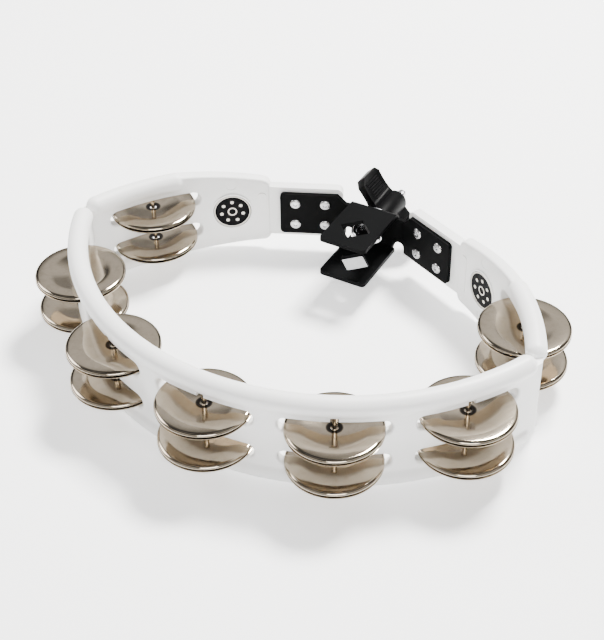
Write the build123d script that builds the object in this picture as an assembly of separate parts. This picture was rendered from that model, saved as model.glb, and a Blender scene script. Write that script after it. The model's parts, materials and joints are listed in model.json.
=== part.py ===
from build123d import *
import os
from math import atan2, cos, degrees, hypot, radians, sin

# Mountable tambourine: a C-shaped moulded ring with seven jingle stations in two rows, closed at the
# back by a pressed steel rod clamp with an eye bolt and a wing nut.
# Millimetres. The origin is on the axis of the clamped rod, level with the middle of the ring.
# +Z is up along the rod, +X is to the right and +Y is from the ring towards the wing nut.

# ---- ring plan --------------------------------------------------------------------------------
RING_RADIUS = 151.0          # centre line of the front arc: wall, beads and jingle pins
ROD_TO_RING_CENTRE = 14.75   # from the rod axis forward to the centre of the front arc
CORNER_ANGLE = 67.9          # from straight ahead round to each corner
TAB_ANGLE = 24.15            # slope of the two flat tabs that carry the bracket
TAB_MIDDLE = 36.5            # from the rod axis square to the middle plane of a tab
TAB_START_X = 64.0           # where the thick end block steps down to the tab
TAB_END_X = 23.5             # free end of the tab

# ---- ring section -----------------------------------------------------------------------------
WALL_THICKNESS = 7.0
BEAD_RADIUS = 5.7
BEAD_HEIGHT = 23.65          # bead centre above and below the middle
BEAD_FILLET = 2.4            # hollow blend from the bead down to the wall
CORNER_SETBACK = 7.0         # from the corner back to the centre of each bead's round end
SIDE_BEAD_END = 47.5         # where the side bead stops, degrees from straight back
BLOCK_BEAD_LAP = 1.0         # how far the block reaches under the bead's round end, degrees
BLOCK_START_DROP = 0.65      # end block below the bead's crown, beside the bead
BLOCK_END_HEIGHT = 21.5      # half height of the end block at the step
BLOCK_EDGE = 1.6
BLOCK_CORNER = 5.0           # round end of the block, seen from the side
TAB_THICKNESS = 6.0
TAB_HEIGHT = 17.25           # half height of the tab
TAB_CORNER = 4.0
RING_TOP = BEAD_HEIGHT + BEAD_RADIUS
BLOCK_START_HEIGHT = RING_TOP - BLOCK_START_DROP

# ---- jingles ----------------------------------------------------------------------------------
FRONT_STATIONS = 5
STATION_PITCH = 26.03        # degrees along the front arc
SIDE_STATION = 53.4          # degrees from straight back round the side arc
ROW_HEIGHT = 11.2            # middle of each slot above and below the middle
SLOT_END_GAP = 3.0           # from a jingle's rim to the end of its slot
SLOT_CORNER = 4.2
SLOT_EDGE = 1.4
JINGLE_RADIUS = 25.4         # a two inch jingle
JINGLE_SHEET = 0.5
JINGLE_PIN_GAP = 1.9         # from the pin to the edge of a jingle's hole
JINGLE_PAIR = 4.7            # thickness of a resting pair
JINGLE_FLOOR_GAP = 0.3       # resting pair above the slot floor
JINGLE_TOP_GAP = 0.3         # raised pair below the slot's top
JINGLE_CENTRE_GAP = 0.3      # between the two dished centres
JINGLE_CONE = 16.5           # radius where the dished centre meets the flat ring
JINGLE_NOSE = 5.0            # radius of the small flat round the hole
RIM_CURL = 1.8               # width of the curled rim
RIM_DROP = 1.5               # how far the rim turns in
LOWER_TRAVEL = 2.0           # lift of the bottom jingle of a pair
UPPER_TRAVEL = 1.9           # further lift of the top jingle
SLOT_HALF_LENGTH = JINGLE_RADIUS + SLOT_END_GAP
SLOT_HEIGHT = JINGLE_PAIR + JINGLE_FLOOR_GAP + LOWER_TRAVEL + UPPER_TRAVEL + JINGLE_TOP_GAP

# ---- jingle pins ------------------------------------------------------------------------------
PIN_RADIUS = 1.2
PIN_CLEARANCE = 0.03
PIN_HEAD_LIP = 1.1
PIN_HEAD_HEIGHT = 1.0
PIN_HEAD_RECESS = 1.6        # pin head below the bottom of the ring
PIN_TOP_ABOVE_SLOT = 3.2
NOTCH_GAP = 1.0              # beside the pin's tip, in the small window on the outer face
PIN_HEAD_RADIUS = PIN_RADIUS + PIN_HEAD_LIP
JINGLE_HOLE = PIN_RADIUS + JINGLE_PIN_GAP

# ---- badges and moulded marks -----------------------------------------------------------------
BADGE_ANGLE = 33.8           # degrees from straight back round the side arc
BADGE_RADIUS = 11.6
BADGE_THICKNESS = 1.3
BADGE_RIM_WIDTH = 1.1
BADGE_RIM_PROUD = 0.45
BADGE_FIT = 0.05
BADGE_SEAT_DEPTH = 0.9       # badge floor below the block's inner face
BADGE_SEAT = WALL_THICKNESS / 2 - BADGE_SEAT_DEPTH
MARK_RADIUS = 3.2
MARK_HEIGHT = 18.6
MARK_DEPTH = 0.25
BAR_ANGLE = 26.1
BAR_WIDTH = 5.0
BAR_HEIGHT = 26.0
BAR_PROUD = 0.4

# ---- rod clamp bracket ------------------------------------------------------------------------
SHEET = 2.5
WEB_FACE_Y = 25.75           # front face of the web
PLATE_HEIGHT = 14.2          # half height of the riveted plates
PLATE_END_X = 56.5
PLATE_CORNER = 2.5
NECK_TOP = 8.5
NECK_START_X = 20.0
NECK_END_X = 25.8
ARCH_X = 16.6
ARCH_HEIGHT = 11.4
ARCH_RADIUS = 3.6
BEND_RADIUS = 4.0            # plan bends between the web and the plates, middle of the sheet
JAW_HALF_WIDTH = 15.0
JAW_REACH = 17.75            # from the rod axis forward to the free edge of the jaws
UPPER_JAW_HEIGHT = 11.65     # middle of the sheet
LOWER_JAW_HEIGHT = 12.35
JAW_BEND = 4.2
JAW_CORNER = 2.6
DIAMOND_GAP = 0.4            # from the clamped rod to each side of the diamond, rod in the middle
DIAMOND_CORNER = 0.8

# ---- rivets -----------------------------------------------------------------------------------
RIVET_X = 33.2               # inner pair
RIVET_PITCH = 18.1           # along the plate
RIVET_HEIGHT = 7.35          # half the distance between the two rows
MANDREL_RADIUS = 1.2
MANDREL_RECESS = 0.7
MANDREL_HEAD_LIP = 0.7
MANDREL_HEAD_LENGTH = 1.6
RIVET_WALL = 1.2             # of the hollow shank, round the mandrel
RIVET_HEAD_LIP = 1.0
RIVET_HEAD_HEIGHT = 1.3
RIVET_MOUTH = 0.6            # flat ring round the mandrel on the head's crown
RIVET_BULB_LIP = 0.9
RIVET_BULB_LENGTH = 3.0
RIVET_HOLE_CLEARANCE = 0.05
RIVET_SHANK = MANDREL_RADIUS + RIVET_WALL
RIVET_HEAD = RIVET_SHANK + RIVET_HEAD_LIP
RIVET_BULB = RIVET_SHANK + RIVET_BULB_LIP
MANDREL_HEAD = MANDREL_RADIUS + MANDREL_HEAD_LIP

# ---- eye bolt, washer and wing nut ------------------------------------------------------------
EYE_BORE = 6.5               # takes a half inch rod
EYE_WALL = 3.1
EYE_THICKNESS = 6.0
EYE_WEB_GAP = 0.4            # eye drawn right back, short of the web
EYE_BORE_CHAMFER = 0.5
EYE_EDGE = 1.2
BOLT_RADIUS = 3.0
BOLT_END_Y = 64.2
BOLT_POINT = 0.7
BOLT_HOLE_CLEARANCE = 0.3
THREAD_CLEARANCE = 0.05
WASHER_RADIUS = 9.5
WASHER_THICKNESS = 1.6
NUT_GAP = 0.1                # running gap between the washer and the nut's collar
COLLAR_LIP = 1.6
COLLAR_LENGTH = 2.6
INSERT_WALL = 2.0
INSERT_LENGTH = 22.0
HUB_WALL = 2.2
HUB_END_WALL = 3.6           # plastic beyond the end of the insert
LOBE_REACH = 25.0
LOBE_FRONT_Y = 6.2           # front edge of a lobe's tip, behind the hub's front face
LOBE_BACK_Y = 24.2           # back edge of a lobe's tip
LOBE_ROOT_Y = 1.2
LOBE_THICKNESS = 6.4
LOBE_TURN = 135.0            # direction of the upper lobe, degrees from +X towards +Z
LOBE_ROUND = 4.0
HUB_EDGE = 1.0
EYE_OUTER = EYE_BORE + EYE_WALL
DIAMOND_SIDE = 2 * (EYE_BORE + DIAMOND_GAP)
INSERT_RADIUS = BOLT_RADIUS + INSERT_WALL
COLLAR_RADIUS = INSERT_RADIUS + COLLAR_LIP
HUB_RADIUS = INSERT_RADIUS + HUB_WALL
HUB_LENGTH = INSERT_LENGTH - COLLAR_LENGTH + HUB_END_WALL

# ---- derived places ---------------------------------------------------------------------------
CENTRE_Y = -ROD_TO_RING_CENTRE
TAB_X = sin(radians(TAB_ANGLE))
TAB_Y = cos(radians(TAB_ANGLE))
CORNER = (RING_RADIUS * sin(radians(CORNER_ANGLE)),
          CENTRE_Y - RING_RADIUS * cos(radians(CORNER_ANGLE)))
BLOCK_END = (TAB_START_X, (TAB_MIDDLE - TAB_START_X * TAB_X) / TAB_Y)

EYE_REST_Y = WEB_FACE_Y - EYE_OUTER - EYE_WEB_GAP   # turning the nut back brings it to the rod axis
WASHER_FACE_Y = WEB_FACE_Y + SHEET
COLLAR_Y = WASHER_FACE_Y + WASHER_THICKNESS + NUT_GAP
HUB_Y = COLLAR_Y + COLLAR_LENGTH


def side_arc():
    """Radius, centre and corner angle of the arc that leaves the tab's line and ends at the corner."""
    across = CORNER[0] - BLOCK_END[0]
    back = BLOCK_END[1] - CORNER[1]
    half_turn = atan2(back, across) - radians(TAB_ANGLE)
    radius = hypot(across, back) / (2 * sin(half_turn))
    centre = (BLOCK_END[0] - radius * TAB_X, BLOCK_END[1] - radius * TAB_Y)
    return radius, centre, TAB_ANGLE + 2 * degrees(half_turn)


SIDE_RADIUS, SIDE_CENTRE, SIDE_CORNER = side_arc()


def front_place(angle, offset=0.0, z=0.0):
    """Place on the front arc, angle from straight ahead; local x points out of the ring."""
    turn = angle - 90
    reach = RING_RADIUS + offset
    spot = (reach * cos(radians(turn)), CENTRE_Y + reach * sin(radians(turn)), z)
    return Location(spot, (0, 0, turn))


def side_place(angle, offset=0.0, z=0.0):
    """Place on the right side arc, angle from straight back; local x points out of the ring."""
    turn = 90 - angle
    reach = SIDE_RADIUS + offset
    spot = (SIDE_CENTRE[0] + reach * cos(radians(turn)), SIDE_CENTRE[1] + reach * sin(radians(turn)), z)
    return Location(spot, (0, 0, turn))


def tab_place(x, offset=0.0, z=0.0):
    """Place on the right tab's middle plane; local z points into the ring and local y points up."""
    y = (TAB_MIDDLE - x * TAB_X) / TAB_Y
    spot = (x - offset * TAB_X, y - offset * TAB_Y, z)
    return Plane(origin=spot, x_dir=(-TAB_Y, TAB_X, 0), z_dir=(-TAB_X, -TAB_Y, 0)).location


def both_sides(shape):
    return [shape, mirror(shape, about=Plane.YZ)]


def group(shapes):
    return Compound(children=[solid for shape in shapes for solid in shape.solids()])


# ---- ring -------------------------------------------------------------------------------------
def arc_bar(section, centre, start, sweep_angle):
    """Turn a section drawn at its radius in the XZ plane about a vertical axis at centre."""
    swept = revolve(Plane.XZ * section, Axis.Z, revolution_arc=sweep_angle)
    return Pos(centre[0], centre[1], 0) * Rot(0, 0, start) * swept


def arc_wall(radius, centre, start, sweep_angle, height):
    section = Pos(radius, 0) * Rectangle(WALL_THICKNESS, height)
    return arc_bar(section, centre, start, sweep_angle)


def arc_bead(radius, centre, start, sweep_angle, z):
    section = Pos(radius, z) * Circle(BEAD_RADIUS)
    return arc_bar(section, centre, start, sweep_angle)


def blended(shape, radius, centre):
    """Fill the corner between each bead and the faces of its wall with a hollow fillet."""
    seam_height = BEAD_HEIGHT - (BEAD_RADIUS**2 - WALL_THICKNESS**2 / 4) ** 0.5

    def on_seam(edge):
        spot = edge.position_at(0.5)
        depth = abs(hypot(spot.X - centre[0], spot.Y - centre[1]) - radius)
        return abs(depth - WALL_THICKNESS / 2) < 0.01 and abs(abs(spot.Z) - seam_height) < 0.01

    return fillet(shape.edges().filter_by(on_seam), BEAD_FILLET)


def front_section():
    setback = degrees(CORNER_SETBACK / RING_RADIUS)
    centre = (0, CENTRE_Y)
    shape = arc_wall(RING_RADIUS, centre, -90 - CORNER_ANGLE, 2 * CORNER_ANGLE, 2 * BEAD_HEIGHT)
    bead_half = CORNER_ANGLE - setback
    for z in (-BEAD_HEIGHT, BEAD_HEIGHT):
        shape += arc_bead(RING_RADIUS, centre, -90 - bead_half, 2 * bead_half, z)
        for side in (-1, 1):
            shape += front_place(side * bead_half, 0, z) * Sphere(BEAD_RADIUS)
    return blended(shape, RING_RADIUS, (0, CENTRE_Y))


def side_wall():
    """Wall of one side, rising into the end block that tapers from the bead down to the tab."""
    blank = arc_wall(SIDE_RADIUS, SIDE_CENTRE, 90 - SIDE_CORNER, SIDE_CORNER - TAB_ANGLE, 2 * RING_TOP)
    block_x = side_place(SIDE_BEAD_END + BLOCK_BEAD_LAP).position.X
    slope = (BLOCK_START_HEIGHT - BLOCK_END_HEIGHT) / (block_x - TAB_START_X)
    near_x = TAB_START_X - WALL_THICKNESS
    near_height = BLOCK_END_HEIGHT - slope * WALL_THICKNESS
    far_x = CORNER[0] + WALL_THICKNESS
    slope_line = [(near_x, near_height), (block_x, BLOCK_START_HEIGHT)]
    upper = slope_line + [(block_x, BEAD_HEIGHT), (far_x, BEAD_HEIGHT)]
    lower = [(x, -z) for x, z in reversed(upper)]
    outline = Polygon(*upper, *lower, align=None)
    wall = blank & extrude(Plane.XZ * outline, RING_RADIUS, both=True)

    def at_end(edge):
        spot = edge.center()
        near = hypot(spot.X - BLOCK_END[0], spot.Y - BLOCK_END[1]) < WALL_THICKNESS / 2
        return near and abs(spot.Z) > TAB_HEIGHT

    wall = fillet(wall.edges().filter_by(at_end), BLOCK_CORNER)

    def on_block(edge):
        spot = edge.position_at(0.5)
        depth = abs(hypot(spot.X - SIDE_CENTRE[0], spot.Y - SIDE_CENTRE[1]) - SIDE_RADIUS)
        on_face = abs(depth - WALL_THICKNESS / 2) < 0.01
        return on_face and spot.X < block_x - 0.01 and abs(spot.Z) > BLOCK_END_HEIGHT - BLOCK_CORNER + 0.01

    return fillet(wall.edges().filter_by(on_block), BLOCK_EDGE)


def tab():
    length = (TAB_START_X - TAB_END_X) / TAB_Y
    outline = RectangleRounded(length + 2 * TAB_CORNER, 2 * TAB_HEIGHT, TAB_CORNER)
    trimmed = outline & Rectangle(length + 2 * TAB_CORNER, 2 * TAB_HEIGHT + 1)
    middle_x = (TAB_START_X + TAB_END_X) / 2 + TAB_CORNER * TAB_Y
    return tab_place(middle_x) * extrude(trimmed, TAB_THICKNESS / 2, both=True)


def right_section():
    setback = degrees(CORNER_SETBACK / SIDE_RADIUS)
    bead_start = SIDE_CORNER - setback
    shape = side_wall() + tab()
    shape += Pos(*CORNER, 0) * Cylinder(WALL_THICKNESS / 2, 2 * BEAD_HEIGHT)
    for z in (-BEAD_HEIGHT, BEAD_HEIGHT):
        shape += arc_bead(SIDE_RADIUS, SIDE_CENTRE, 90 - bead_start, bead_start - SIDE_BEAD_END, z)
        shape += side_place(bead_start, 0, z) * Sphere(BEAD_RADIUS)
        shape += side_place(SIDE_BEAD_END, 0, z) * Sphere(BEAD_RADIUS)
    return blended(shape, SIDE_RADIUS, SIDE_CENTRE)


def badge_place():
    """Seat of the right badge; local z points into the ring."""
    return side_place(BADGE_ANGLE, -BADGE_SEAT) * Rot(0, -90, 0)


def badge_features(shape):
    """Round seat with a raised rim, two shallow moulding marks and a plain raised bar."""
    proud = BADGE_THICKNESS + BADGE_RIM_PROUD
    seat_radius = BADGE_RADIUS + BADGE_FIT
    shape += badge_place() * extrude(Circle(seat_radius + BADGE_RIM_WIDTH), proud)
    shape -= badge_place() * extrude(Circle(seat_radius), proud + 1)
    face = -WALL_THICKNESS / 2
    bar = extrude(RectangleRounded(BAR_HEIGHT, BAR_WIDTH, BAR_WIDTH / 2.1), 2 * BAR_PROUD)
    shape += side_place(BAR_ANGLE, face + BAR_PROUD) * Rot(0, -90, 0) * bar
    for z in (-MARK_HEIGHT, MARK_HEIGHT):
        mark = extrude(Circle(MARK_RADIUS), 2 * MARK_DEPTH)
        shape -= side_place(BADGE_ANGLE, face + MARK_DEPTH, z) * Rot(0, -90, 0) * mark
    return shape


def station_places():
    """The seven jingle stations from the left side round the front to the right side."""
    middle = (FRONT_STATIONS - 1) / 2
    front = [front_place((number - middle) * STATION_PITCH) for number in range(FRONT_STATIONS)]
    right = side_place(SIDE_STATION)
    spot = right.position
    left = Location((-spot.X, spot.Y, 0), (0, 0, 90 + SIDE_STATION))
    return [left] + front + [right]


def slot_cutter(z):
    outline = Plane.YZ * RectangleRounded(2 * SLOT_HALF_LENGTH, SLOT_HEIGHT, SLOT_CORNER)
    return Pos(0, 0, z) * extrude(outline, 2 * WALL_THICKNESS, both=True)


def pin_cutter():
    slot_top = ROW_HEIGHT + SLOT_HEIGHT / 2
    pin_top = slot_top + PIN_TOP_ABOVE_SLOT
    bore = Pos(0, 0, (pin_top - RING_TOP) / 2) * Cylinder(PIN_RADIUS + PIN_CLEARANCE, pin_top + RING_TOP)
    recess_height = PIN_HEAD_RECESS + PIN_HEAD_HEIGHT
    recess = Cylinder(PIN_HEAD_RADIUS + PIN_CLEARANCE, recess_height)
    recess = Pos(0, 0, recess_height / 2 - RING_TOP) * recess
    notch = Box(WALL_THICKNESS, 2 * (PIN_RADIUS + NOTCH_GAP), PIN_TOP_ABOVE_SLOT,
                align=(Align.MIN, Align.CENTER, Align.MIN))
    return bore + recess + Pos(0, 0, slot_top) * notch


def slotted(shape, places, radius, centre):
    """Cut the slots of some stations in one section and round their edges."""
    for place in places:
        for z in (-ROW_HEIGHT, ROW_HEIGHT):
            shape -= place * slot_cutter(z)

    def round_slot(edge):
        spot = edge.position_at(0.5)
        depth = abs(hypot(spot.X - centre[0], spot.Y - centre[1]) - radius)
        on_face = abs(depth - WALL_THICKNESS / 2) < 0.01
        near = min((place.position - spot).length for place in places) < SLOT_HALF_LENGTH + SLOT_HEIGHT
        low = abs(spot.Z) < ROW_HEIGHT + SLOT_HEIGHT
        return on_face and near and low and edge.geom_type != GeomType.LINE

    return fillet(shape.edges().filter_by(round_slot), SLOT_EDGE)


def frame():
    places = station_places()
    shape = slotted(front_section(), places[1:-1], RING_RADIUS, (0, CENTRE_Y))
    right = badge_features(slotted(right_section(), places[-1:], SIDE_RADIUS, SIDE_CENTRE))
    for x in rivet_places():
        for z in (-RIVET_HEIGHT, RIVET_HEIGHT):
            right -= tab_place(x, 0, z) * Cylinder(RIVET_SHANK + RIVET_HOLE_CLEARANCE, 2 * WALL_THICKNESS)
    for side in both_sides(right):
        shape += side
    for place in places:
        shape -= place * pin_cutter()
    return shape


# ---- jingles and pins -------------------------------------------------------------------------
def top_jingle():
    """Top disc of a pair, its middle plane at z = 0: dished centre down, rim turned in."""
    high = JINGLE_PAIR / 2
    low = JINGLE_CENTRE_GAP / 2
    sheet = JINGLE_SHEET
    profile = Polygon(
        (JINGLE_HOLE, low), (JINGLE_HOLE, low + sheet), (JINGLE_NOSE, low + sheet), (JINGLE_CONE, high),
        (JINGLE_RADIUS - RIM_CURL, high), (JINGLE_RADIUS - RIM_CURL / 5, high - RIM_DROP / 3),
        (JINGLE_RADIUS, high - RIM_DROP), (JINGLE_RADIUS - sheet, high - RIM_DROP),
        (JINGLE_RADIUS - sheet - RIM_CURL / 5, high - RIM_DROP / 3 - sheet * 0.7),
        (JINGLE_RADIUS - RIM_CURL - sheet * 0.2, high - sheet), (JINGLE_CONE, high - sheet),
        (JINGLE_NOSE, low), align=None)
    return revolve(Plane.XZ * profile, Axis.Z)


def pair_middle(row):
    return row * ROW_HEIGHT - SLOT_HEIGHT / 2 + JINGLE_FLOOR_GAP + JINGLE_PAIR / 2


def jingle_pin():
    top = ROW_HEIGHT + SLOT_HEIGHT / 2 + PIN_TOP_ABOVE_SLOT
    bottom = PIN_HEAD_RECESS - RING_TOP
    rod = Pos(0, 0, (top + bottom) / 2) * Cylinder(PIN_RADIUS, top - bottom)
    head = Pos(0, 0, bottom + PIN_HEAD_HEIGHT / 2) * Cylinder(PIN_HEAD_RADIUS, PIN_HEAD_HEIGHT)
    return rod + head


# ---- bracket ----------------------------------------------------------------------------------
def rivet_places():
    return [RIVET_X, RIVET_X + RIVET_PITCH * TAB_Y]


def plate_middle_point(x):
    """Point of the right plate's middle plane at x."""
    offset = TAB_MIDDLE - TAB_THICKNESS / 2 - SHEET / 2
    return (x, (offset - x * TAB_X) / TAB_Y)


def bracket():
    web_y = WEB_FACE_Y + SHEET / 2
    offset = TAB_MIDDLE - TAB_THICKNESS / 2 - SHEET / 2
    bend_x = (offset - web_y * TAB_Y) / TAB_X
    end = plate_middle_point(PLATE_END_X)
    plan = FilletPolyline((-end[0], end[1]), (-bend_x, web_y), (bend_x, web_y), end, radius=BEND_RADIUS)
    plates = extrude(trace(plan, SHEET), PLATE_HEIGHT, both=True)
    for side in (-1, 1):
        over = PLATE_HEIGHT + 1
        top_cut = Polygon((0, NECK_TOP), (side * NECK_START_X, NECK_TOP), (side * NECK_END_X, over),
                          (0, over), align=None)
        arch = Circle(ARCH_RADIUS) + Pos(0, -ARCH_RADIUS) * Rectangle(2 * ARCH_RADIUS, 2 * ARCH_RADIUS)
        low_cut = Pos(side * ARCH_X, -ARCH_HEIGHT) * arch
        under_web = Polygon((0, -over), (side * ARCH_X, -over), (side * ARCH_X, -ARCH_HEIGHT),
                            (0, -ARCH_HEIGHT), align=None)
        for cut in (top_cut, low_cut, under_web):
            plates -= extrude(Plane.XZ * cut, RING_RADIUS, both=True)
    ends = plates.edges().filter_by(lambda edge: abs(edge.center().X) > PLATE_END_X - SHEET)
    across = ends.filter_by(lambda edge: abs(edge.length - SHEET) < 0.01)
    corners = across.filter_by(lambda edge: abs(edge.tangent_at(0).Z) < 0.01)
    plates = fillet(corners, PLATE_CORNER)
    side_line = FilletPolyline((-JAW_REACH, UPPER_JAW_HEIGHT), (web_y, UPPER_JAW_HEIGHT),
                               (web_y, -LOWER_JAW_HEIGHT), (-JAW_REACH, -LOWER_JAW_HEIGHT), radius=JAW_BEND)
    jaws = extrude(Plane.YZ * trace(side_line, SHEET), JAW_HALF_WIDTH, both=True)
    fronts = jaws.edges().filter_by(Axis.Z).filter_by(lambda edge: edge.center().Y < 0)
    jaws = fillet(fronts, JAW_CORNER)
    diamond = Rot(0, 0, 45) * RectangleRounded(DIAMOND_SIDE, DIAMOND_SIDE, DIAMOND_CORNER)
    jaws -= extrude(diamond, 2 * LOWER_JAW_HEIGHT, both=True)
    for side in (-1, 1):
        relief = Pos(side * ARCH_X, -ARCH_HEIGHT) * Circle(ARCH_RADIUS)
        jaws -= extrude(Plane.XZ.offset(-WEB_FACE_Y) * relief, SHEET, both=True)
    shape = plates + jaws
    shape -= Pos(0, web_y, 0) * Rot(90, 0, 0) * Cylinder(BOLT_RADIUS + BOLT_HOLE_CLEARANCE, 2 * SHEET)
    for x in rivet_places():
        for z in (-RIVET_HEIGHT, RIVET_HEIGHT):
            hole = Cylinder(RIVET_SHANK + RIVET_HOLE_CLEARANCE, 2 * WALL_THICKNESS)
            for cutter in both_sides(tab_place(x, 0, z) * hole):
                shape -= cutter
    return shape


def rivet():
    """Hollow blind rivet, local z out of its head, z = 0 on the plate's face."""
    grip = SHEET + TAB_THICKNESS
    bottom = -grip - RIVET_BULB_LENGTH
    mouth = MANDREL_RADIUS + RIVET_MOUTH
    outline = Polyline((RIVET_HEAD, 0), (RIVET_SHANK, 0), (RIVET_SHANK, -grip), (RIVET_BULB, -grip),
                       (RIVET_BULB, bottom + RIVET_BULB_LENGTH / 2), (MANDREL_HEAD, bottom),
                       (MANDREL_RADIUS, bottom), (MANDREL_RADIUS, RIVET_HEAD_HEIGHT),
                       (mouth, RIVET_HEAD_HEIGHT))
    crown = EllipticalCenterArc((mouth, 0), RIVET_HEAD - mouth, RIVET_HEAD_HEIGHT, arc_size=90)
    return revolve(Plane.XZ * make_face([outline, crown]), Axis.Z)


def mandrel():
    top = RIVET_HEAD_HEIGHT - MANDREL_RECESS
    bottom = -SHEET - TAB_THICKNESS - RIVET_BULB_LENGTH
    stem = Pos(0, 0, (top + bottom) / 2) * Cylinder(MANDREL_RADIUS, top - bottom)
    ball = Pos(0, 0, bottom - MANDREL_HEAD_LENGTH / 2) * Cylinder(MANDREL_HEAD, MANDREL_HEAD_LENGTH)
    return stem + ball


def on_rivet_places(shape):
    face = TAB_THICKNESS / 2 + SHEET
    rows = (-RIVET_HEIGHT, RIVET_HEIGHT)
    return group([tab_place(x, face, z) * shape for x in rivet_places() for z in rows])


# ---- eye bolt, washer and wing nut ------------------------------------------------------------
def along_y(y, shape):
    """Put a shape whose local z is the bolt axis at y, local z pointing to the nut's end."""
    return Pos(0, y, 0) * Rot(-90, 0, 0) * shape


def eye_bolt():
    """Eye bolt drawn right back: the eye stands just short of the web."""
    eye = Cylinder(EYE_OUTER, EYE_THICKNESS)
    eye = Pos(0, EYE_REST_Y, 0) * fillet(eye.edges(), EYE_EDGE)
    shank_start = EYE_REST_Y + (EYE_BORE + EYE_OUTER) / 2
    shank = along_y((shank_start + BOLT_END_Y) / 2, Cylinder(BOLT_RADIUS, BOLT_END_Y - shank_start))
    tip = shank.edges().filter_by(lambda edge: edge.center().Y > BOLT_END_Y - BOLT_POINT)
    shape = eye + chamfer(tip, BOLT_POINT)
    shape -= Pos(0, EYE_REST_Y, 0) * Cylinder(EYE_BORE, 2 * EYE_THICKNESS)
    circles = shape.edges().filter_by(GeomType.CIRCLE)
    mouths = circles.filter_by(lambda edge: abs(edge.radius - EYE_BORE) < 0.01)
    return chamfer(mouths, EYE_BORE_CHAMFER)


def washer():
    hole = Cylinder(BOLT_RADIUS + BOLT_HOLE_CLEARANCE, 2 * WASHER_THICKNESS)
    disc = Cylinder(WASHER_RADIUS, WASHER_THICKNESS) - hole
    return along_y(WASHER_FACE_Y + WASHER_THICKNESS / 2, disc)


def nut_insert():
    collar = Cylinder(COLLAR_RADIUS, COLLAR_LENGTH, align=(Align.CENTER, Align.CENTER, Align.MIN))
    barrel = Cylinder(INSERT_RADIUS, INSERT_LENGTH, align=(Align.CENTER, Align.CENTER, Align.MIN))
    bore = Cylinder(BOLT_RADIUS + THREAD_CLEARANCE, 3 * INSERT_LENGTH)
    return along_y(COLLAR_Y, collar + barrel - bore)


def wing_nut():
    hub = Cylinder(HUB_RADIUS, HUB_LENGTH, align=(Align.CENTER, Align.CENTER, Align.MIN))
    hub = fillet(hub.edges().group_by(Axis.Z)[-1], HUB_EDGE)
    outline = Polygon((0, LOBE_ROOT_Y), (HUB_RADIUS, LOBE_ROOT_Y), (LOBE_REACH, LOBE_FRONT_Y),
                      (LOBE_REACH, LOBE_BACK_Y), (HUB_RADIUS, HUB_LENGTH - HUB_EDGE),
                      (0, HUB_LENGTH - HUB_EDGE), align=None)
    tips = outline.vertices().group_by(Axis.X)[-1]
    lobe = extrude(Plane.XZ * fillet(tips, LOBE_ROUND), LOBE_THICKNESS / 2, both=True)
    shape = hub + lobe + Rot(0, 0, 180) * lobe
    depth = INSERT_LENGTH - COLLAR_LENGTH
    shape -= Cylinder(INSERT_RADIUS, depth, align=(Align.CENTER, Align.CENTER, Align.MIN))
    shape -= Cylinder(BOLT_RADIUS + BOLT_HOLE_CLEARANCE, 3 * HUB_LENGTH)
    return along_y(HUB_Y, Rot(0, 0, -LOBE_TURN) * shape)


# ---- write every sub-part ---------------------------------------------------------------------
def make_parts():
    parts = {"frame": frame(), "mount_bracket": bracket()}
    badge = badge_place() * extrude(Circle(BADGE_RADIUS), BADGE_THICKNESS)
    parts["badge_right"], parts["badge_left"] = both_sides(badge)
    parts["right_rivets"], parts["left_rivets"] = both_sides(on_rivet_places(rivet()))
    parts["right_rivet_mandrels"], parts["left_rivet_mandrels"] = both_sides(on_rivet_places(mandrel()))
    parts["eye_bolt"] = eye_bolt()
    parts["flat_washer"] = washer()
    parts["wing_nut"] = wing_nut()
    parts["wing_nut_insert"] = nut_insert()
    disc = top_jingle()
    under_disc = mirror(disc, about=Plane.XY)
    for number, place in enumerate(station_places(), start=1):
        parts[f"jingle_pin_{number}"] = place * jingle_pin()
        for row_name, row in (("high", 1), ("low", -1)):
            middle = Pos(0, 0, pair_middle(row))
            parts[f"jingle_{number}_{row_name}_top"] = place * middle * disc
            parts[f"jingle_{number}_{row_name}_bottom"] = place * middle * under_disc
    return parts


os.makedirs("parts", exist_ok=True)
for name, shape in make_parts().items():
    export_step(shape, f"parts/{name}.step")
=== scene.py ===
import json
from math import cos, pi, radians, sin

import bmesh
import bpy
from mathutils import Matrix, Vector

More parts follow.
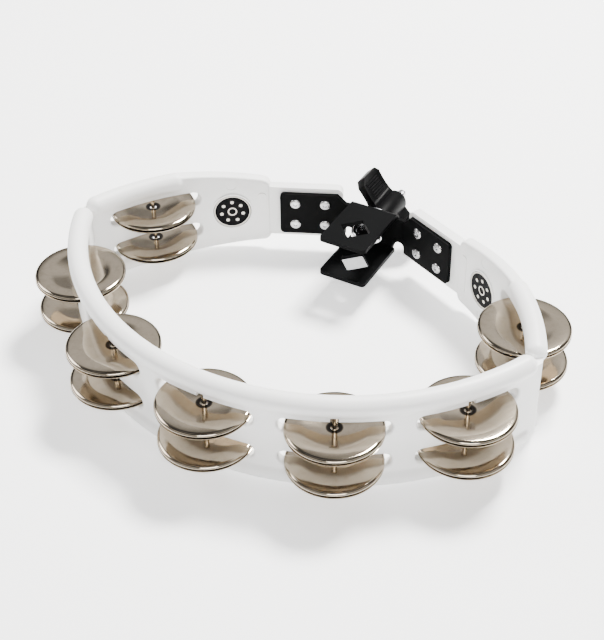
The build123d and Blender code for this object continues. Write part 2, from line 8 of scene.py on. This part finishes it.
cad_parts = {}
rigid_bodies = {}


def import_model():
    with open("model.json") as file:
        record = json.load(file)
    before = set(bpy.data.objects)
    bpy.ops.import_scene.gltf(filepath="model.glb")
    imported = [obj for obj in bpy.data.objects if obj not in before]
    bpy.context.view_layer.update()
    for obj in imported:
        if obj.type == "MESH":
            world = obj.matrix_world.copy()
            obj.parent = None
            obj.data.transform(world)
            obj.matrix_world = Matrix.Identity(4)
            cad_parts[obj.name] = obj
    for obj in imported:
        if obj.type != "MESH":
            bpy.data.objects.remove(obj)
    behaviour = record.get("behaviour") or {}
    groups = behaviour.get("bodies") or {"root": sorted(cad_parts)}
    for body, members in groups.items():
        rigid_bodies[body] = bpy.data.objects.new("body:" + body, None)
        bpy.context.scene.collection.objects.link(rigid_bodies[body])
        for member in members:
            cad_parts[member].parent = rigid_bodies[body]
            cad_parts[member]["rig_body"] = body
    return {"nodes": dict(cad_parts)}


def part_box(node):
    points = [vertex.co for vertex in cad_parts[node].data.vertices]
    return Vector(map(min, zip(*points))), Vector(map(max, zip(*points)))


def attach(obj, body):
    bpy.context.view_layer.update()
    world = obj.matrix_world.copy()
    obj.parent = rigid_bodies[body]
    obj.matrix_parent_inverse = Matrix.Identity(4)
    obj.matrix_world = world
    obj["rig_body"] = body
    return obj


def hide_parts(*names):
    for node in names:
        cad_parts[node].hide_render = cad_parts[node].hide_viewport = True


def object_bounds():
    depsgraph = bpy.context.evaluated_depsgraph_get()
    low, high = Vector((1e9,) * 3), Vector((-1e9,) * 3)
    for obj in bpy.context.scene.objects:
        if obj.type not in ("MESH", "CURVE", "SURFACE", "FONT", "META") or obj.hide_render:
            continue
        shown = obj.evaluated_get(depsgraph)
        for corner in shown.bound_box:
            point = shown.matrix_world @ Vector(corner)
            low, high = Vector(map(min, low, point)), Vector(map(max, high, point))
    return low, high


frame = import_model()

cad_low, cad_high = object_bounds()
NODES = frame["nodes"]
STATIONS = range(1, 8)
ROWS = ("high", "low")
SHARP = radians(28)          # edges that turn by more than this stay crisp
DOME_SHARP = radians(55)     # the same on the rivets, so that their domes stay smooth
MERGE = 0.00001              # loose triangles closer than this are joined


# ---- material nodes written as expressions -----------------------------------------------------
class Value:
    """A node socket that takes part in Python arithmetic."""

    def __init__(self, paint, socket):
        self.paint = paint
        self.socket = socket

    def maths(self, operation, *terms):
        names = {str(place): term for place, term in enumerate(terms)}
        return self.paint.node("ShaderNodeMath", "Value", {"operation": operation}, **names)

    def __add__(self, other):
        return self.maths("ADD", self, other)

    def __sub__(self, other):
        return self.maths("SUBTRACT", self, other)

    def __rsub__(self, other):
        return self.maths("SUBTRACT", other, self)

    def __mul__(self, other):
        return self.maths("MULTIPLY", self, other)

    def __truediv__(self, other):
        return self.maths("DIVIDE", self, other)

    def __pow__(self, other):
        return self.maths("POWER", self, other)

    __radd__ = __add__
    __rmul__ = __mul__

    def clamped(self):
        return self.maths("MAXIMUM", self.maths("MINIMUM", self, 1.0), 0.0)

    def step(self, edge, soft):
        """0 below the edge and 1 above it, over a soft width."""
        return ((self - edge) / soft + 0.5).clamped()


class Paint:
    """One material or sky: its nodes are added as expressions ask for them."""

    def __init__(self, owner, place="Object"):
        self.material = owner
        owner.use_nodes = True
        self.tree = owner.node_tree
        self.tree.nodes.clear()
        self.place = self.node("ShaderNodeTexCoord", place)

    def node(self, kind, output, settings=None, **inputs):
        """Add a node, set it up, then give its sockets values or links."""
        made = self.tree.nodes.new(kind)
        for name, setting in (settings or {}).items():
            if name == "stops":
                self.set_stops(made.color_ramp, setting)
            else:
                setattr(made, name, setting)
        for name, value in inputs.items():
            socket = made.inputs[int(name)] if name.isdigit() else made.inputs[name.replace("_", " ")]
            if isinstance(value, Value):
                self.tree.links.new(value.socket, socket)
            else:
                socket.default_value = value
        return Value(self, made.outputs[output])

    def set_stops(self, ramp, stops):
        while len(ramp.elements) < len(stops):
            ramp.elements.new(1.0)
        for element, (position, shade) in zip(ramp.elements, stops):
            element.position = position
            element.color = (*shade, 1.0)

    def noise(self, scale, detail=2.0, roughness=0.5):
        return self.node("ShaderNodeTexNoise", "Fac", Vector=self.place, Scale=scale,
                         Detail=detail, Roughness=roughness)

    def mix(self, share, first, second):
        """Colour that goes from first to second as share goes from 0 to 1."""
        inputs = {"0": share, "6": self.colour(first), "7": self.colour(second)}
        return self.node("ShaderNodeMix", 2, {"data_type": "RGBA"}, **inputs)

    def colour(self, shade):
        return shade if isinstance(shade, Value) else (*shade, 1.0)

    def ramp(self, share, stops):
        return self.node("ShaderNodeValToRGB", "Color", {"stops": stops}, Fac=share)

    def bump(self, height, distance, strength=1.0):
        return self.node("ShaderNodeBump", "Normal", Height=height, Distance=distance, Strength=strength)

    def axes(self):
        split = self.node("ShaderNodeSeparateXYZ", "X", Vector=self.place)
        outputs = split.socket.node.outputs
        return [Value(self, outputs[name]) for name in "XYZ"]

    def distance_from(self, centre):
        return self.node("ShaderNodeVectorMath", "Value", {"operation": "DISTANCE"},
                         **{"0": self.place, "1": centre})

    def corners(self):
        """1 on sharp outer corners, 0.5 on flat faces and 0 in hollows."""
        return self.node("ShaderNodeNewGeometry", "Pointiness")

    def finish(self, **inputs):
        shader = self.node("ShaderNodeBsdfPrincipled", "BSDF", None, **inputs)
        self.show(shader, "ShaderNodeOutputMaterial")
        return self.material

    def show(self, shader, output):
        out = self.tree.nodes.new(output)
        self.tree.links.new(shader.socket, out.inputs["Surface"])


def new_material(name):
    return bpy.data.materials.new(name)


# ---- finishes ----------------------------------------------------------------------------------
def white_plastic():
    """Moulded off-white plastic: satin, faintly cloudy, with a fine orange-peel skin."""
    paint = Paint(new_material("white_moulded_plastic"))
    cloud = paint.noise(14.0, 3.0)
    grime = paint.noise(70.0, 4.0, 0.6)
    shade = paint.mix(cloud, (0.80, 0.797, 0.785), (0.845, 0.843, 0.832))
    shade = paint.mix(grime.step(0.66, 0.2) * 0.25, shade, (0.72, 0.71, 0.69))
    skin = paint.noise(900.0, 2.0) + paint.noise(130.0, 2.0) * 2.0
    return paint.finish(
        Base_Color=shade, Roughness=0.36 + grime * 0.14, IOR=1.47,
        Subsurface_Weight=0.08, Subsurface_Radius=(0.004, 0.0035, 0.003), Subsurface_Scale=0.6,
        Normal=paint.bump(skin, 0.00002, 0.5))


def black_steel():
    """Black powder coat on pressed steel: a fine grain, soft sheen and a painted highlight that lightens
    its sharp corners.
    """
    paint = Paint(new_material("black_powder_coat"))
    grain = paint.noise(2600.0, 2.0)
    patch = paint.noise(60.0, 3.0)
    # Sharp corners painted slightly lighter: a painted edge highlight.
    painted_edge_highlight = paint.corners().step(0.56, 0.06) * 0.5
    shade = paint.mix(patch, (0.0005, 0.0006, 0.0006), (0.0010, 0.0011, 0.0012))
    shade = paint.mix(painted_edge_highlight, shade, (0.006, 0.0062, 0.0065))
    return paint.finish(
        Base_Color=shade, Roughness=0.27 + patch * 0.16 + grain * 0.06, IOR=1.5, Specular_IOR_Level=0.02,
        Normal=paint.bump(grain, 0.00003, 0.6))


def black_nylon():
    """Glass-filled black nylon of the wing nut: satin, with a faint moulded grain."""
    paint = Paint(new_material("black_nylon"))
    grain = paint.noise(1800.0, 3.0)
    patch = paint.noise(90.0, 3.0)
    shade = paint.mix(patch, (0.0007, 0.0007, 0.0008), (0.0016, 0.0016, 0.0018))
    return paint.finish(
        Base_Color=shade, Roughness=0.34 + patch * 0.2, IOR=1.52, Specular_IOR_Level=0.05,
        Normal=paint.bump(grain, 0.00004, 0.5))


def badge_black():
    """Gloss black label under a clear dome."""
    paint = Paint(new_material("badge_black_gloss"))
    patch = paint.noise(120.0, 2.0)
    shade = paint.mix(patch, (0.0015, 0.0015, 0.002), (0.004, 0.004, 0.0045))
    return paint.finish(Base_Color=shade, Roughness=0.22 + patch * 0.1, Specular_IOR_Level=0.03)


def badge_cream():
    """Cream printed ring and plain device of the badge."""
    paint = Paint(new_material("badge_cream_print"))
    patch = paint.noise(400.0, 3.0)
    shade = paint.mix(patch, (0.66, 0.63, 0.56), (0.76, 0.73, 0.66))
    return paint.finish(Base_Color=shade, Roughness=0.30 + patch * 0.15)


def bright_metal(name, dark, light, roughness, scratch_scale=300.0):
    """Plated steel: polished, with cloudy tone and fine random scratches."""
    paint = Paint(new_material(name))
    cloud = paint.noise(55.0, 3.0)
    fine = paint.noise(scratch_scale, 4.0, 0.7)
    shade = paint.mix(cloud, dark, light)
    return paint.finish(
        Base_Color=shade, Metallic=1.0, Roughness=roughness + fine * 0.10,
        Normal=paint.bump(fine, 0.00001, 0.3))


PAINTED_HOLE_SHADE_RADIUS = 0.0043      # painted shade round a jingle's hole


def nickel(centre):
    """Polished nickel of a jingle: warm lathe rings round its own centre, a cloudy tone and darker
    smears.
    """
    paint = Paint(new_material("jingle_nickel"))
    x, y, z = paint.axes()
    from_centre = ((x - centre.x) ** 2.0 + (y - centre.y) ** 2.0) ** 0.5
    rings = paint.node("ShaderNodeTexNoise", "Fac", {"noise_dimensions": "1D"},
                       W=from_centre, Scale=2600.0, Detail=3.0)
    cloud = paint.noise(45.0, 3.0)
    smear = paint.noise(260.0, 4.0, 0.65)
    shade = paint.mix(cloud, (0.34, 0.285, 0.215), (0.47, 0.405, 0.32))
    shade = paint.mix(smear.step(0.62, 0.3) * 0.35, shade, (0.26, 0.21, 0.15))
    # Near-black patch round the hole: painted shade standing in for the dark of the hole.
    painted_hole_shade = 1.0 - from_centre.step(PAINTED_HOLE_SHADE_RADIUS, 0.0008)
    shade = paint.mix(painted_hole_shade, shade, (0.02, 0.017, 0.014))
    return paint.finish(
        Base_Color=shade, Metallic=1.0, Roughness=0.07 + rings * 0.04 + smear * 0.05,
        Normal=paint.bump(rings, 0.000003, 0.5))


WHITE_PLASTIC = white_plastic()
BLACK_STEEL = black_steel()
BLACK_NYLON = black_nylon()
BADGE_BLACK = badge_black()
BADGE_CREAM = badge_cream()
CHROME = bright_metal("chrome_plate", (0.62, 0.62, 0.63), (0.80, 0.80, 0.81), 0.10)
ZINC = bright_metal("zinc_plate", (0.50, 0.51, 0.53), (0.66, 0.67, 0.68), 0.20)
RIVET_STEEL = bright_metal("rivet_steel", (0.40, 0.40, 0.40), (0.52, 0.52, 0.52), 0.17, 90.0)
PIN_STEEL = bright_metal("pin_steel", (0.55, 0.47, 0.36), (0.70, 0.61, 0.49), 0.18)


# ---- making pieces -----------------------------------------------------------------------------
def piece_from(form, name, finishes):
    mesh = bpy.data.meshes.new(name)
    form.to_mesh(mesh)
    form.free()
    piece = bpy.data.objects.new(name, mesh)
    bpy.context.scene.collection.objects.link(piece)
    for finish in finishes:
        mesh.materials.append(finish)
    smooth(piece)
    return piece


def smooth(piece, angle=SHARP):
    """Shade smooth, with crisp edges where two faces meet at more than the angle."""
    form = bmesh.new()
    form.from_mesh(piece.data)
    for face in form.faces:
        face.smooth = True
    for edge in form.edges:
        edge.smooth = not edge.is_manifold or edge.calc_face_angle(0) < angle
    form.to_mesh(piece.data)
    form.free()


def stand_for(piece, body, slot, *nodes):
    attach(piece, body)
    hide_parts(*nodes)
    return piece


def copy_of(node, name):
    """A CAD node's own shape as a new piece, with its loose triangles joined."""
    form = bmesh.new()
    form.from_mesh(NODES[node].data)
    bmesh.ops.remove_doubles(form, verts=form.verts, dist=MERGE)
    bmesh.ops.dissolve_degenerate(form, edges=form.edges, dist=MERGE / 10)
    return piece_from(form, name, [])


def spun(form, outline, steps, centre=(0, 0, 0), axis=(0, 0, 1)):
    """Turn an open outline of (radius, height) points right round the Z axis."""
    verts = [form.verts.new((radius, 0, height)) for radius, height in outline]
    edges = [form.edges.new(pair) for pair in zip(verts, verts[1:])]
    made = bmesh.ops.spin(form, geom=verts + edges, cent=centre, axis=axis, angle=2 * pi, steps=steps,
                          use_merge=True)
    return made


def middle(node):
    low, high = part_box(node)
    return (low + high) / 2


def placed(form, move):
    bmesh.ops.transform(form, matrix=move, verts=form.verts)


def tidy(form):
    bmesh.ops.remove_doubles(form, verts=form.verts, dist=MERGE / 10)
    bmesh.ops.recalc_face_normals(form, faces=form.faces)


# ---- ring --------------------------------------------------------------------------------------
def ring():
    piece = copy_of("frame", "moulded_ring")
    piece.data.materials.append(WHITE_PLASTIC)
    stand_for(piece, "ring", "plastic_white", "frame")


# ---- jingles -----------------------------------------------------------------------------------
DISC_STEPS = 96
SHEET = 0.0005


DISC_HOLE = 0.0021           # drawn smaller than the CAD hole
DISC_NOSE = 0.0050


def disc_outline(radius, rise):
    """Upper side of a top disc from its hole to its rolled rim, (radius, height) in metres."""
    hole = DISC_HOLE
    nose = DISC_NOSE
    crease = radius * 0.655
    rim = 0.0022
    points = [(hole, 0.0), (nose, 0.0001)]
    bowl = 8
    for step in range(1, bowl + 1):
        share = step / bowl
        points.append((nose + (crease - nose) * share, 0.0001 + (rise - 0.0001) * share ** 1.25))
    brim = 5
    for step in range(1, brim + 1):
        share = step / brim
        points.append((crease + (radius - rim - crease) * share, rise + 0.00012 * sin(pi * share)))
    curl = 7
    for step in range(1, curl + 1):
        turn = radians(82) * step / curl
        points.append((radius - rim + rim * sin(turn), rise - 0.0017 * (1 - cos(turn))))
    return points


def jingle(station, row, side):
    node = f"jingle_{station}_{row}_{side}"
    low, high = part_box(node)
    centre = (low + high) / 2
    radius = (high.x - low.x) / 2
    form = bmesh.new()
    rise = high.z - low.z - SHEET
    spun(form, disc_outline(radius, rise), DISC_STEPS)
    tidy(form)
    if sum(face.normal.z for face in form.faces) < 0:
        bmesh.ops.reverse_faces(form, faces=form.faces)
    bmesh.ops.solidify(form, geom=form.faces[:], thickness=SHEET)
    bmesh.ops.recalc_face_normals(form, faces=form.faces)
    top = max(vert.co.z for vert in form.verts)
    placed(form, Matrix.Translation((0, 0, -top)))
    if side == "top":
        placed(form, Matrix.Translation((centre.x, centre.y, high.z)))
    else:
        bmesh.ops.scale(form, vec=(1, 1, -1), verts=form.verts)
        bmesh.ops.recalc_face_normals(form, faces=form.faces)
        placed(form, Matrix.Translation((centre.x, centre.y, low.z)))
    piece = piece_from(form, f"disc_{station}_{row}_{side}", [nickel(centre)])
    body = NODES[node]["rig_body"]
    stand_for(piece, body, "jingle_nickel", node)


def pin(station):
    node = f"jingle_pin_{station}"
    low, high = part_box(node)
    centre = (low + high) / 2
    shank = 0.0012
    head = (high.x - low.x) / 2
    tip = 0.0004
    outline = [(0, low.z), (head - 0.0003, low.z), (head, low.z + 0.0003), (head, low.z + 0.0009),
               (head - 0.0002, low.z + 0.001), (shank, low.z + 0.001), (shank, high.z - tip),
               (shank - tip, high.z), (0, high.z)]
    form = bmesh.new()
    spun(form, outline, 28)
    tidy(form)
    placed(form, Matrix.Translation((centre.x, centre.y, 0)))
    piece = piece_from(form, f"pin_{station}", [PIN_STEEL])
    stand_for(piece, "ring", "pin_steel", node)


# ---- badges ------------------------------------------------------------------------------------
BADGE_ANGLE = radians(33.8)      # from straight back round the ring
BADGE_RADIUS = 0.0115
BADGE_DOTS = 7
PRINT_RISE = 0.00006             # the print stands this much above the label


def annulus(form, inner, outer, height, steps):
    outline = [(inner, height - PRINT_RISE), (inner, height),
               (outer, height), (outer, height - PRINT_RISE)]
    spun(form, outline, steps)


def badge(side_name, side):
    """Gloss black disc with a cream rim line and a plain ring of seven dots."""
    node = f"badge_{side_name}"
    centre = middle(node)
    outward = Vector((side * sin(BADGE_ANGLE), cos(BADGE_ANGLE), 0))
    normal = -outward
    across = Vector((0, 0, 1)).cross(normal)
    turn = Matrix((across, Vector((0, 0, 1)), normal)).transposed().to_4x4()
    half = 0.00065
    edge = 0.0003
    form = bmesh.new()
    outline = [(0, -half), (BADGE_RADIUS, -half), (BADGE_RADIUS, half - edge),
               (BADGE_RADIUS - edge, half), (BADGE_RADIUS * 0.5, half + edge / 3), (0, half + edge / 2)]
    spun(form, outline, 72)
    tidy(form)
    black_faces = len(form.faces)
    top = half + edge / 2
    annulus(form, BADGE_RADIUS - 0.0010, BADGE_RADIUS - 0.00032, top, 72)
    annulus(form, 0.0021, 0.0029, top + PRINT_RISE, 32)
    for number in range(BADGE_DOTS):
        angle = 2 * pi * number / BADGE_DOTS + pi / 2
        spot = Vector((cos(angle), sin(angle), 0)) * BADGE_RADIUS * 0.58
        dot = bmesh.ops.create_circle(form, cap_ends=True, segments=20, radius=0.0011)
        bmesh.ops.translate(form, verts=dot["verts"], vec=spot + Vector((0, 0, top + PRINT_RISE)))
    form.faces.ensure_lookup_table()
    for face in form.faces[black_faces:]:
        face.material_index = 1
    placed(form, Matrix.Translation(centre) @ turn)
    piece = piece_from(form, f"badge_disc_{side_name}", [BADGE_BLACK, BADGE_CREAM])
    stand_for(piece, "ring", "badge_black", node)


# ---- clamp bracket and its rivets --------------------------------------------------------------
def softened(node, name, finish, slot, width=0.0, segments=3):
    """A CAD node's shape, shaded smooth, with its crisp edges rounded when a width is given."""
    form = bmesh.new()
    form.from_mesh(NODES[node].data)
    bmesh.ops.remove_doubles(form, verts=form.verts, dist=MERGE)
    if width:
        bmesh.ops.dissolve_limit(form, angle_limit=radians(0.4), verts=form.verts, edges=form.edges)
    piece = piece_from(form, name, [finish])
    if width:
        rounding = piece.modifiers.new("rounded_edges", "BEVEL")
        rounding.width = width
        rounding.segments = segments
        rounding.angle_limit = radians(38)
        rounding.harden_normals = True
    stand_for(piece, NODES[node]["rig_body"], slot, node)
    return piece


# ---- eye bolt ----------------------------------------------------------------------------------
EYE_BORE = 0.0065
BOLT_RADIUS = 0.003
THREAD_PITCH = 0.001
THREAD_DEPTH = 0.00035
THREAD_STEPS = 24


def eye_bolt():
    low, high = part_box("eye_bolt")
    outer = (high.x - low.x) / 2
    half = (high.z - low.z) / 2
    eye_y = low.y + outer
    edge = 0.0014
    form = bmesh.new()
    outline = [(EYE_BORE + 0.0005, -half)]
    for corner, start in (((outer - edge, -half + edge), -90), ((outer - edge, half - edge), 0)):
        for step in range(7):
            turn = radians(start + 15 * step)
            outline.append((corner[0] + edge * cos(turn), corner[1] + edge * sin(turn)))
    outline += [(EYE_BORE + 0.0005, half), (EYE_BORE, half - 0.0005), (EYE_BORE, -half + 0.0005)]
    spun(form, outline + outline[:1], 80)
    tidy(form)
    placed(form, Matrix.Translation((0, eye_y, 0)))
    start = eye_y + outer - 0.0016
    thread_start = 0.0285
    root = BOLT_RADIUS - THREAD_DEPTH
    shank = bmesh.new()
    spun(shank, [(0, start), (BOLT_RADIUS + 0.0012, start), (BOLT_RADIUS, start + 0.0022),
                 (BOLT_RADIUS, thread_start), (root, thread_start + 0.0003), (root, high.y - 0.0003),
                 (root - 0.0004, high.y), (0, high.y)], 32)
    tidy(shank)
    tooth = [(root - 0.0001, -THREAD_PITCH * 0.46), (BOLT_RADIUS - 0.00003, -THREAD_PITCH * 0.06),
             (BOLT_RADIUS - 0.00003, THREAD_PITCH * 0.06), (root - 0.0001, THREAD_PITCH * 0.46)]
    base = thread_start + THREAD_PITCH
    verts = [shank.verts.new((radius, 0, base + height)) for radius, height in tooth]
    edges = [shank.edges.new(pair) for pair in zip(verts, verts[1:])]
    turns = int((high.y - thread_start) / THREAD_PITCH) - 2
    bmesh.ops.spin(shank, geom=verts + edges, cent=(0, 0, 0), axis=(0, 0, 1), angle=2 * pi * turns,
                   steps=turns * THREAD_STEPS, dvec=(0, 0, THREAD_PITCH / THREAD_STEPS))
    bmesh.ops.recalc_face_normals(shank, faces=shank.faces)
    placed(shank, Matrix.Rotation(radians(-90), 4, "X"))
    shank_mesh = bpy.data.meshes.new("shank")
    shank.to_mesh(shank_mesh)
    shank.free()
    form.from_mesh(shank_mesh)
    bpy.data.meshes.remove(shank_mesh)
    piece = piece_from(form, "forged_eye_bolt", [CHROME])
    stand_for(piece, "eye_bolt", "bolt_chrome", "eye_bolt")


# ---- wing nut ----------------------------------------------------------------------------------
LOBE_DIRECTION = radians(135)    # of the upper lobe, from the right towards the top
LOBE_THICKNESS = 0.0066
LOBE_WAIST = 0.28                # how much the finger faces hollow in at their middle
HUB_RADIUS = 0.0072
INSERT_RADIUS = 0.005
INSERT_DEPTH = 0.0194
RIBS = 7
RIB_PITCH = 0.0017


def lobe_hollow(x, reach):
    """Half thickness of a lobe at x from the bolt's axis."""
    share = min(max((x - HUB_RADIUS) / (reach - HUB_RADIUS), 0.0), 1.0)
    return LOBE_THICKNESS / 2 * (1 - LOBE_WAIST * sin(pi * share ** 0.8))


def lobe(reach, length):
    """One lobe along +X with the bolt's axis along Z, its finger faces hollowed and ribbed."""
    form = bmesh.new()
    half = LOBE_THICKNESS / 2
    outline = [(0.002, 0.0012), (HUB_RADIUS, 0.0012), (reach * 0.86, 0.0046), (reach, 0.0086),
               (reach, length * 0.93), (reach * 0.87, length * 1.045), (HUB_RADIUS, length * 0.93),
               (0.002, length * 0.93)]
    face = form.faces.new([form.verts.new((x, -half, z)) for x, z in outline])
    raised = bmesh.ops.extrude_face_region(form, geom=[face])
    moved = [item for item in raised["geom"] if isinstance(item, bmesh.types.BMVert)]
    bmesh.ops.translate(form, verts=moved, vec=(0, 2 * half, 0))
    cuts = 14
    for step in range(1, cuts):
        x = HUB_RADIUS + (reach - HUB_RADIUS) * step / cuts
        everything = form.verts[:] + form.edges[:] + form.faces[:]
        bmesh.ops.bisect_plane(form, geom=everything, dist=MERGE / 100,
                               plane_co=(x, 0, 0), plane_no=(1, 0, 0))
    bmesh.ops.recalc_face_normals(form, faces=form.faces)
    for vert in form.verts:
        vert.co.y *= lobe_hollow(vert.co.x, reach) / half
    form.normal_update()
    for sign in (-1, 1):
        sides = [face for face in form.faces
                 if face.normal.y * sign > 0.7 and face.calc_center_median().x > HUB_RADIUS + 0.001]
        bmesh.ops.inset_region(form, faces=sides, thickness=0.0015, depth=-0.0006, use_even_offset=True)
    form.normal_update()
    crisp = [edge for edge in form.edges if edge.is_manifold
             and edge.calc_face_angle(0) > radians(32) and edge.verts[0].co.x > HUB_RADIUS]
    bmesh.ops.bevel(form, geom=crisp, offset=0.0009, offset_type="OFFSET", segments=3, profile=0.5,
                    affect="EDGES", material=-1, clamp_overlap=True)
    for sign in (-1, 1):
        for number in range(RIBS):
            x = reach - 0.0046 - number * RIB_PITCH
            rib = bmesh.ops.create_cube(form, size=1.0)
            size = Vector((0.0008, 0.0012, length * 0.56))
            bmesh.ops.scale(form, vec=size, verts=rib["verts"])
            spot = (x, sign * (lobe_hollow(x, reach) - 0.0007), length * 0.58)
            bmesh.ops.translate(form, verts=rib["verts"], vec=spot)
            rims = list({edge for vert in rib["verts"] for edge in vert.link_edges})
            bmesh.ops.bevel(form, geom=rims, offset=0.0003, offset_type="OFFSET", segments=2,
                            profile=0.5, affect="EDGES", material=-1)
    return form


def wing_nut():
    low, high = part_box("wing_nut")
    length = high.y - low.y
    reach = (high.x - low.x) / 2 / cos(pi / 4) - LOBE_THICKNESS / 2
    form = bmesh.new()
    bore = BOLT_RADIUS + 0.0003
    hub = [(INSERT_RADIUS, 0), (HUB_RADIUS - 0.0005, 0), (HUB_RADIUS, 0.0005),
           (HUB_RADIUS, length - 0.0016), (HUB_RADIUS - 0.0005, length - 0.0005),
           (HUB_RADIUS - 0.0016, length), (bore + 0.0004, length), (bore, length - 0.0004),
           (bore, INSERT_DEPTH), (INSERT_RADIUS, INSERT_DEPTH)]
    spun(form, hub + hub[:1], 48)
    tidy(form)
    for turn in (0, pi):
        side = lobe(reach, length)
        placed(side, Matrix.Rotation(turn, 4, "Z"))
        side_mesh = bpy.data.meshes.new("lobe")
        side.to_mesh(side_mesh)
        side.free()
        form.from_mesh(side_mesh)
        bpy.data.meshes.remove(side_mesh)
    along = Vector((cos(LOBE_DIRECTION), 0, sin(LOBE_DIRECTION)))
    bolt = Vector((0, 1, 0))
    turn = Matrix((along, bolt.cross(along), bolt)).transposed().to_4x4()
    placed(form, Matrix.Translation((0, low.y, 0)) @ turn)
    piece = piece_from(form, "winged_nut", [BLACK_NYLON])
    stand_for(piece, "wing_nut", "nut_plastic", "wing_nut")


# ---- stage -------------------------------------------------------------------------------------
def floor():
    form = bmesh.new()
    bmesh.ops.create_grid(form, x_segments=1, y_segments=1, size=6.0)
    placed(form, Matrix.Translation((0, 0, cad_low.z - 0.0002)))
    paint = Paint(new_material("pale_floor"))
    tone = paint.noise(1.5, 2.0)
    shade = paint.mix(tone, (0.90, 0.90, 0.90), (0.93, 0.93, 0.93))
    finish = paint.finish(Base_Color=shade, Roughness=0.9, Specular_IOR_Level=0.1,
                          Emission_Color=(1.0, 1.0, 1.0, 1.0), Emission_Strength=0.8)
    piece = piece_from(form, "floor", [finish])


# Dark gaps: azimuth and elevation in degrees, radius on the unit sphere, depth
DARK_GAPS = ((150, 23, 0.26, 0.93), (90, 15, 0.24, 0.9), (40, 38, 0.28, 0.85), (205, 46, 0.28, 0.85),
             (118, 74, 0.28, 0.88), (290, 62, 0.34, 0.8))
# Sine of the elevation and the room's tone there
SKY_TONES = ((0.0, 0.06), (0.14, 0.08), (0.24, 0.4), (0.42, 0.4), (0.50, 0.42), (0.57, 0.95),
             (0.70, 0.95), (0.78, 0.25), (0.88, 0.08), (1.0, 0.35))
SKY_STRENGTH = 1.15


def lamp(name, place, aim, size, power, shade=(1, 1, 1)):
    data = bpy.data.lights.new(name, "AREA")
    data.shape = "RECTANGLE"
    data.size = size[0]
    data.size_y = size[1]
    data.energy = power
    data.color = shade
    piece = bpy.data.objects.new(name, data)
    piece.location = place
    piece.rotation_euler = (Vector(aim) - Vector(place)).to_track_quat("-Z", "Y").to_euler()
    bpy.context.scene.collection.objects.link(piece)


def camera():
    data = bpy.data.cameras.new("camera")
    data.sensor_width = 36
    data.sensor_fit = "VERTICAL"
    data.sensor_height = 36
    data.lens = 77.05
    data.shift_x = -0.034
    data.shift_y = -0.046
    data.clip_start = 0.01
    piece = bpy.data.objects.new("camera", data)
    piece.location = (0.2941, -0.58345, 0.4800)
    forward = Vector((-0.3737, 0.6919, -0.6178))
    piece.rotation_euler = forward.to_track_quat("-Z", "Y").to_euler()
    bpy.context.scene.collection.objects.link(piece)
    bpy.context.scene.camera = piece


def studio():
    """Soft room: bright at middle heights, dimmer overhead, with dark gaps between the soft boxes."""
    world = bpy.data.worlds.new("studio")
    sky = Paint(world, "Generated")
    x, y, z = sky.axes()
    tone = sky.ramp(z, [(height, (tone,) * 3) for height, tone in SKY_TONES])
    for azimuth, elevation, inner, depth in DARK_GAPS:
        flat = cos(radians(elevation))
        aim = (flat * cos(radians(azimuth)), flat * sin(radians(azimuth)), sin(radians(elevation)))
        near = sky.distance_from(aim)
        tone = sky.mix((1.0 - near.step(inner, 0.12)) * depth, tone, (0.02, 0.02, 0.02))
    shader = sky.node("ShaderNodeBackground", "Background", None, Color=tone, Strength=SKY_STRENGTH)
    sky.show(shader, "ShaderNodeOutputWorld")
    bpy.context.scene.world = world
    lamp("back_key", (0.15, 0.85, 1.45), (0, -0.06, 0), (0.5, 0.4), 128.0, (1.0, 0.99, 0.97))
    lamp("front_fill", (0.75, -1.2, 1.0), (0, -0.06, 0), (0.9, 0.7), 20.0)
    lamp("left_fill", (-1.3, -0.3, 0.9), (0, -0.06, 0), (0.7, 0.7), 14.0)


# ---- build -------------------------------------------------------------------------------------
ring()
for station in STATIONS:
    pin(station)
    for row in ROWS:
        for side in ("top", "bottom"):
            jingle(station, row, side)
badge("left", -1)
badge("right", 1)
softened("mount_bracket", "pressed_clamp_bracket", BLACK_STEEL, "bracket_black")
for side_name in ("left", "right"):
    rivets = softened(f"{side_name}_rivets", f"{side_name}_blind_rivets", RIVET_STEEL, "rivet_steel")
    smooth(rivets, DOME_SHARP)
    softened(f"{side_name}_rivet_mandrels", f"{side_name}_snapped_mandrels", ZINC, "zinc_steel")
softened("flat_washer", "plated_washer", ZINC, "zinc_steel", 0.0002)
softened("wing_nut_insert", "threaded_insert", ZINC, "zinc_steel", 0.0002)
eye_bolt()
wing_nut()

floor()
camera()
studio()
